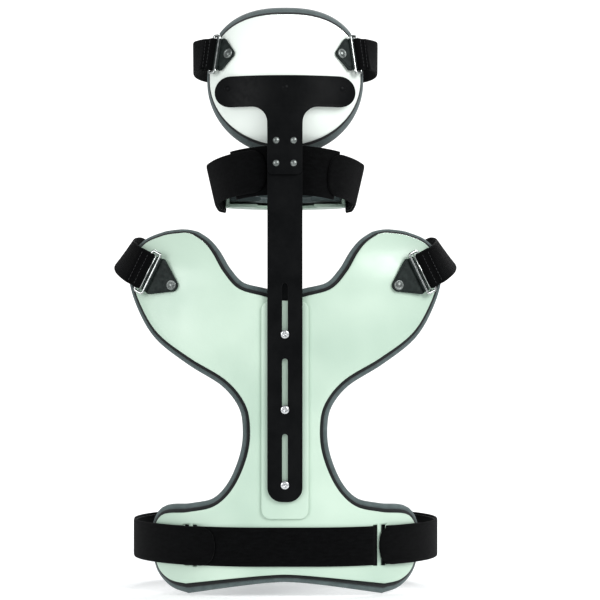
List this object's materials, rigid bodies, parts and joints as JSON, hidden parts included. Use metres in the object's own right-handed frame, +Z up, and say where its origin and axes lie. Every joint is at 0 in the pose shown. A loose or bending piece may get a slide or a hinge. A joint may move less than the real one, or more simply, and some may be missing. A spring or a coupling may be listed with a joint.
{
  "type": "head, neck and back brace",
  "caption": "Head, neck and back brace: rear and front shells with foam liners, straps and slotted uprights that carry a head plate and a chin cup.",
  "frame": {"origin": "on the torso's vertical axis at the middle of the waist strap's height, where the wearer's body holds the brace", "axes": "+Z up the spine, -Y towards the wearer's back, +X towards the wearer's right"},
  "size_m": [0.3448, 0.2352, 0.5763],
  "materials": {
    "shell_plastic": "smooth moulded thermoplastic",
    "liner_foam": "closed-cell foam faced with fabric",
    "webbing": "woven nylon and brushed loop",
    "black_bar": "satin black powder coat",
    "tab_plastic": "moulded black plastic",
    "bright_steel": "polished rivets and screws",
    "ring_wire": "bright wire"
  },
  "bodies": {
    "torso_section": {"back_plate": "shell_plastic", "back_liner": "liner_foam", "spine_strip": "shell_plastic", "rear_screws": "bright_steel", "rear_tee_nuts": "bright_steel", "waist_loop_band": "webbing", "waist_strap_left": "webbing", "waist_strap_right": "webbing", "waist_anchor_rivets": "bright_steel", "shoulder_strap_left": "webbing", "shoulder_strap_right": "webbing", "shoulder_anchor_rivets": "bright_steel", "shoulder_tab_rivets": "bright_steel", "chest_plate": "shell_plastic", "chest_liner": "liner_foam", "chest_strip": "shell_plastic", "front_screws": "bright_steel", "front_tee_nuts": "bright_steel"},
    "head_section": {"rear_upright": "black_bar", "t_bracket": "black_bar", "stem_rivets": "bright_steel", "crossbar_rivets": "black_bar", "head_plate": "shell_plastic", "head_liner": "liner_foam", "head_tab_rivets": "bright_steel", "forehead_strap": "webbing", "forehead_pad": "liner_foam", "neck_loop_band": "webbing"},
    "chin_section": {"front_upright": "black_bar", "chin_cup": "shell_plastic", "chin_liner": "liner_foam", "chin_rivets": "bright_steel", "neck_strap_left": "webbing", "neck_strap_right": "webbing", "neck_anchor_rivets": "bright_steel"},
    "shoulder_tab_left_pivot": {"shoulder_tab_left": "tab_plastic", "shoulder_ring_left": "ring_wire", "shoulder_loop_left": "webbing"},
    "shoulder_tab_right_pivot": {"shoulder_tab_right": "tab_plastic", "shoulder_ring_right": "ring_wire", "shoulder_loop_right": "webbing"},
    "head_tab_left_pivot": {"head_tab_left": "tab_plastic", "head_ring_left": "ring_wire", "head_loop_left": "webbing"},
    "head_tab_right_pivot": {"head_tab_right": "tab_plastic", "head_ring_right": "ring_wire", "head_loop_right": "webbing"}
  },
  "joints": [
    {"name": "rear_height", "type": "slide", "parent": "torso_section", "child": "head_section", "axis": [0, 0, 1], "range_m": [-0.045, 0]},
    {"name": "front_height", "type": "slide", "parent": "torso_section", "child": "chin_section", "axis": [0, 0, 1], "range_m": [-0.045, 0]},
    {"name": "shoulder_tab_left_turn", "type": "hinge", "parent": "torso_section", "child": "shoulder_tab_left_pivot", "pos_m": [-0.11, -0.10388, 0.254], "axis": [-0.33, -0.9429, 0.0453], "range_deg": [-6, 6]},
    {"name": "shoulder_tab_right_turn", "type": "hinge", "parent": "torso_section", "child": "shoulder_tab_right_pivot", "pos_m": [0.11, -0.10388, 0.254], "axis": [0.33, -0.9429, 0.0453], "range_deg": [-6, 6]},
    {"name": "head_tab_left_turn", "type": "hinge", "parent": "head_section", "child": "head_tab_left_pivot", "pos_m": [-0.054, -0.10487, 0.479], "axis": [-0.54, -0.8067, 0.24], "range_deg": [-6, 6]},
    {"name": "head_tab_right_turn", "type": "hinge", "parent": "head_section", "child": "head_tab_right_pivot", "pos_m": [0.054, -0.10487, 0.479], "axis": [0.54, -0.8067, 0.24], "range_deg": [-6, 6]}
  ],
  "couplings": [
    {"joint": "front_height", "follows": "rear_height", "ratio": 1}
  ]
}
